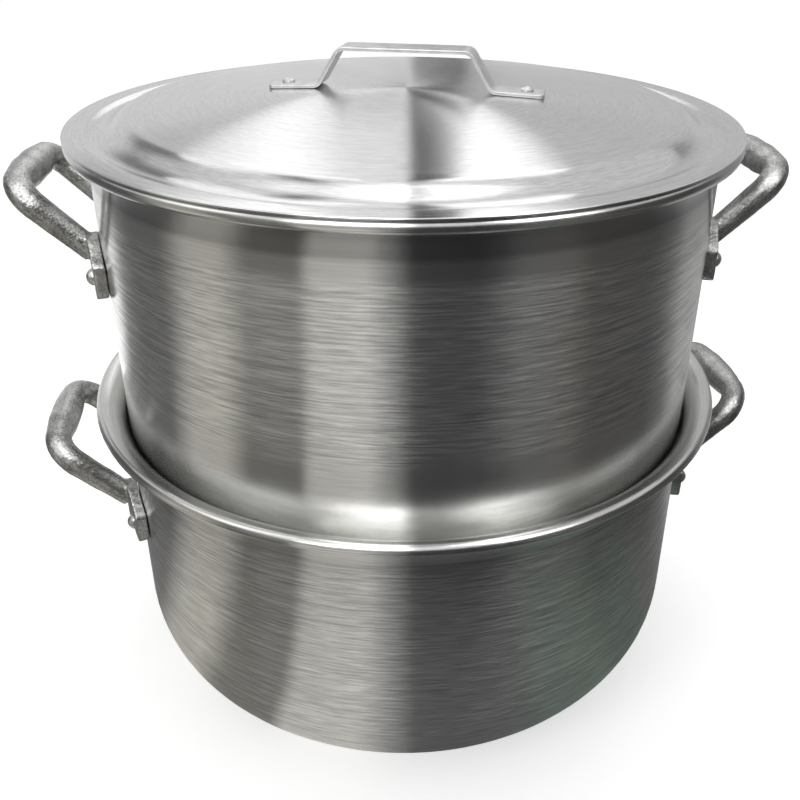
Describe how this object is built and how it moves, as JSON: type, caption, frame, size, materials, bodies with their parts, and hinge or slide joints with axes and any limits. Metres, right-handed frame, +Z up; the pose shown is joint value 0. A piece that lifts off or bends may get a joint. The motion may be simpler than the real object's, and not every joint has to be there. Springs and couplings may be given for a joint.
{
  "type": "steamer pot",
  "caption": "Stacked aluminium steamer pot: a flared stock pot, a pierced steamer pot hanging in its mouth, and a domed lid with a strap handle.",
  "frame": {"origin": "middle of the lower pot's base, on the surface it stands on", "axes": "+Z up the pots' axis, +X towards the lower pot's right handle"},
  "size_m": [0.5432, 0.4658, 0.4708],
  "materials": {
    "spun_pot": "spun, finely brushed round the pot",
    "spun_lid": "spun, satin",
    "cast_aluminium": "rough casting",
    "strap_aluminium": "matte rolled bar",
    "rivet_aluminium": "bright, pressed heads"
  },
  "bodies": {
    "lower_pot_body": {"lower_pot": "spun_pot", "lower_left_handle": "cast_aluminium", "lower_right_handle": "cast_aluminium", "lower_left_handle_rivets": "rivet_aluminium", "lower_right_handle_rivets": "rivet_aluminium"},
    "steamer_body": {"steamer_pot": "spun_pot", "steamer_left_handle": "cast_aluminium", "steamer_right_handle": "cast_aluminium", "steamer_left_handle_rivets": "rivet_aluminium", "steamer_right_handle_rivets": "rivet_aluminium"},
    "lid_body": {"lid": "spun_lid", "lid_handle": "strap_aluminium", "lid_handle_rivets": "rivet_aluminium"}
  },
  "joints": [
    {"name": "steamer_lift", "type": "slide", "parent": "lower_pot_body", "child": "steamer_body", "axis": [0, 0, 1], "range_m": [0, 0.32]},
    {"name": "lid_lift", "type": "slide", "parent": "steamer_body", "child": "lid_body", "axis": [0, 0, 1], "range_m": [0, 0.3]}
  ]
}
